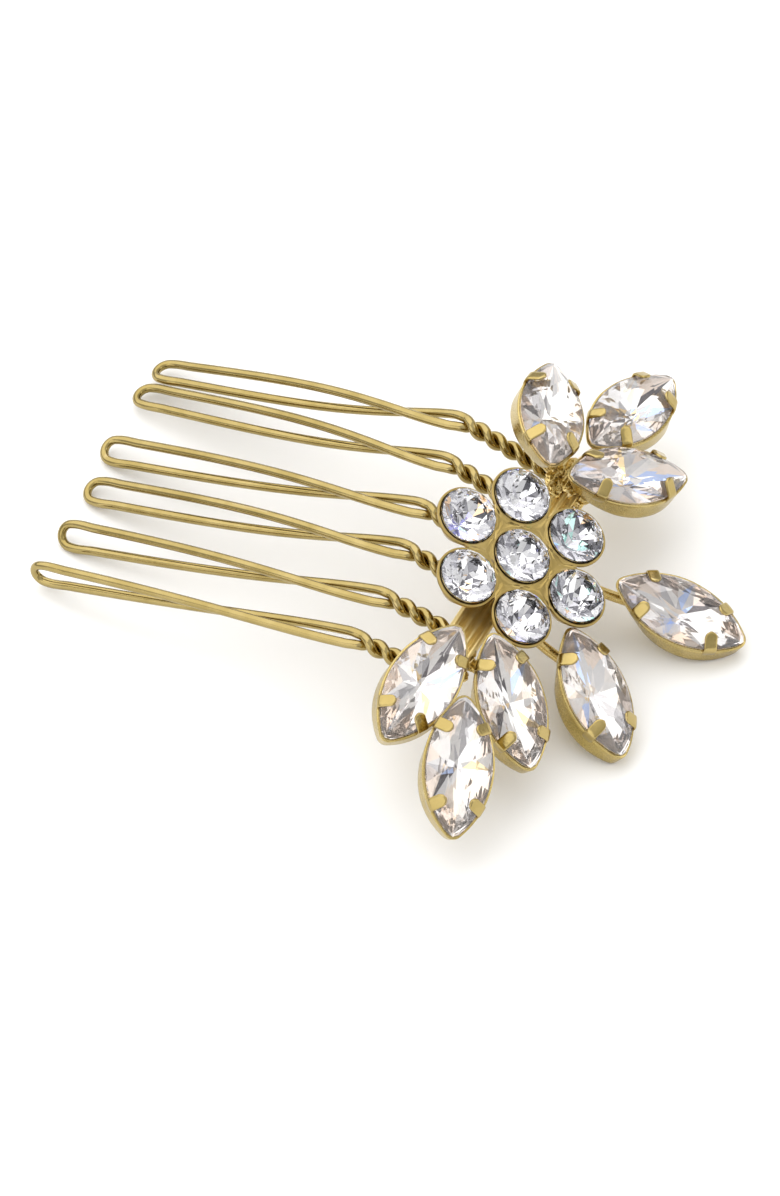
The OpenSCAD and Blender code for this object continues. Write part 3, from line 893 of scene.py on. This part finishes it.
def back_bar():
    """Ribbed bar: rounded ridges run along it, a little uneven, and its ends are rounded."""
    rings = [bar_section(x) for x in np.linspace(BAR_LOW[0], BAR_HIGH[0], 150)]
    make_piece("ribbed_bar", [loft(rings)], [BAR], ["back_bar"], sharp=70)


def bar_end_solder():
    """Lumps of solder where the sprays' stems and cups meet the ends of the bar."""
    for n, x in enumerate((BAR_HIGH[0], BAR_LOW[0]), 1):
        side = 1 if x > 0 else -1
        parts = [blob((x + side * dx, y, z), (r, SPOT_W * r, SPOT_H * r), 0.22, 11 * n + i)
                 for i, (dx, y, z, r) in enumerate(SOLDER_SPOTS)]
        make_piece(f"end_solder_{n}", parts, [SOLDER])


def teeth():
    """Wire teeth that follow the CAD's, a little uneven, and thinner towards the loops' tips."""
    for k in range(1, TOOTH_COUNT + 1):
        middle, radius = tube(f"tooth_{k}")
        path = smooth_path(into(middle, COMB), 0.3)
        wander = np.array([noise.noise((i * 0.05, k * 3.7, 0)) for i in range(len(path))])
        from_tip = path[:, 1].max() - path[:, 1]
        less = TIP_LESS * np.exp(-from_tip / TIP_FADE)
        radii = radius * (TOOTH_R - less + TOOTH_UNEVEN * wander)
        make_piece(f"hairpin_{k}", [sweep(path, radii, 16)], [WIRE],
                   [f"tooth_{k}"])


def solder_beads():
    """Lumpy beads in place of the CAD's, each held under the bar's top."""
    for k in range(1, TOOTH_COUNT + 1):
        p = corners_of(f"tooth_solder_{k}")
        low, high = p.min(0), p.max(0)
        r = (high[0] - low[0]) / 2
        middle = ((low[0] + high[0]) / 2, (low[1] + high[1]) / 2, low[2] + r)
        bead = blob(middle, (r, r, r), 0.12, k, top=BAR_LOW[2] + 0.2)
        make_piece(f"solder_bead_{k}", [bead], [SOLDER], [f"tooth_solder_{k}"])


# ------------------------------------------------------------ stage, light and camera

AZIMUTH, ELEVATION = -62, 51.5       # degrees, of the camera as it looks down at the comb
LEAN = -25                           # degrees by which that view leans about the bar
FLOWER_Z = 3.5                       # height of the flower's middle over the bar's top
AIM = (-14.25, -4.57)                # the picture's middle, to the right of that and above it
FAR = 800                            # from the camera to the comb
LENS, SENSOR = 225, 36               # focal length and width of the sensor
FLOOR_SIZE = 6                       # metres


def view_axes(azimuth, elevation):
    """Right, up and back of a camera that looks down at Z = 0 from an azimuth and an elevation."""
    az, el = math.radians(azimuth), math.radians(elevation)
    right = Vector((math.cos(az), math.sin(az), 0))
    back = Vector((math.sin(az) * math.cos(el), -math.cos(az) * math.cos(el), math.sin(el)))
    return right, back.cross(right), back


def camera():
    """Long lens that looks down at the comb from the bar's -X end, with its teeth on the left."""
    right, up, back = view_axes(AZIMUTH, ELEVATION)
    target = right * AIM[0] + up * AIM[1]
    flower = COMB @ Matrix.Translation(Vector((0, 0, FLOWER_Z * MM)))
    leaning = flower @ Matrix.Rotation(math.radians(LEAN), 4, "X")
    data = bpy.data.cameras.new("camera")
    data.lens = LENS
    data.sensor_width = SENSOR
    obj = bpy.data.objects.new("camera", data)
    bpy.context.scene.collection.objects.link(obj)
    obj.matrix_world = leaning @ place(right, up, back, (target + back * FAR) * MM)
    bpy.context.scene.camera = obj
    return obj


def soft_light(name, cam, where, size, power, colour=(1, 1, 1)):
    """Soft box that faces the comb.

    where is its place to the right, up and back along the camera's axes, in metres.
    """
    data = bpy.data.lights.new(name, "AREA")
    data.shape = "RECTANGLE"
    data.size, data.size_y = size
    data.energy = power
    data.color = colour
    obj = bpy.data.objects.new(name, data)
    bpy.context.scene.collection.objects.link(obj)
    obj.location = cam.matrix_world.to_3x3() @ Vector(where)
    obj.rotation_euler = obj.location.to_track_quat("Z", "Y").to_euler()
    obj.visible_camera = False


def world(low, high):
    """Studio room: a grey of level high overhead, and nearer to low towards the horizon."""
    scene_world = bpy.data.worlds.new("studio")
    scene_world.use_nodes = True
    tree = scene_world.node_tree
    coords = tree.nodes.new("ShaderNodeTexCoord")
    split = tree.nodes.new("ShaderNodeSeparateXYZ")
    shade = tree.nodes.new("ShaderNodeMapRange")
    tree.links.new(coords.outputs["Generated"], split.inputs[0])
    tree.links.new(split.outputs["Z"], shade.inputs["Value"])
    for key, value in (("From Min", -0.1), ("From Max", 0.9), ("To Min", low), ("To Max", high)):
        shade.inputs[key].default_value = value
    tree.links.new(shade.outputs["Result"], tree.nodes["Background"].inputs["Color"])
    bpy.context.scene.world = scene_world


def floor():
    """Plain sheet of paper that reaches past the picture."""
    bpy.ops.mesh.primitive_plane_add(size=FLOOR_SIZE)
    plane = bpy.context.object
    plane.name = "floor"
    plane.data.materials.append(paper("white_paper"))


# ------------------------------------------------------------ the comb

back_bar()
bar_end_solder()
teeth()
solder_beads()
flower_seats()
flower_webs()
round_stones()
leaf_cups()
leaf_crystals()
leaf_stems()

cam = camera()
soft_light("key", cam, (-0.35, 0.75, 0.35), size=(1.8, 1.4), power=8.5, colour=(1, 0.985, 0.96))
soft_light("fill", cam, (-0.6, -0.35, 0.6), size=(0.8, 0.8), power=2)
soft_light("strip", cam, (0.75, 0.1, 0.4), size=(0.35, 0.9), power=1)
world(low=0.5, high=0.97)
floor()
bpy.context.scene.view_settings.view_transform = "Standard"
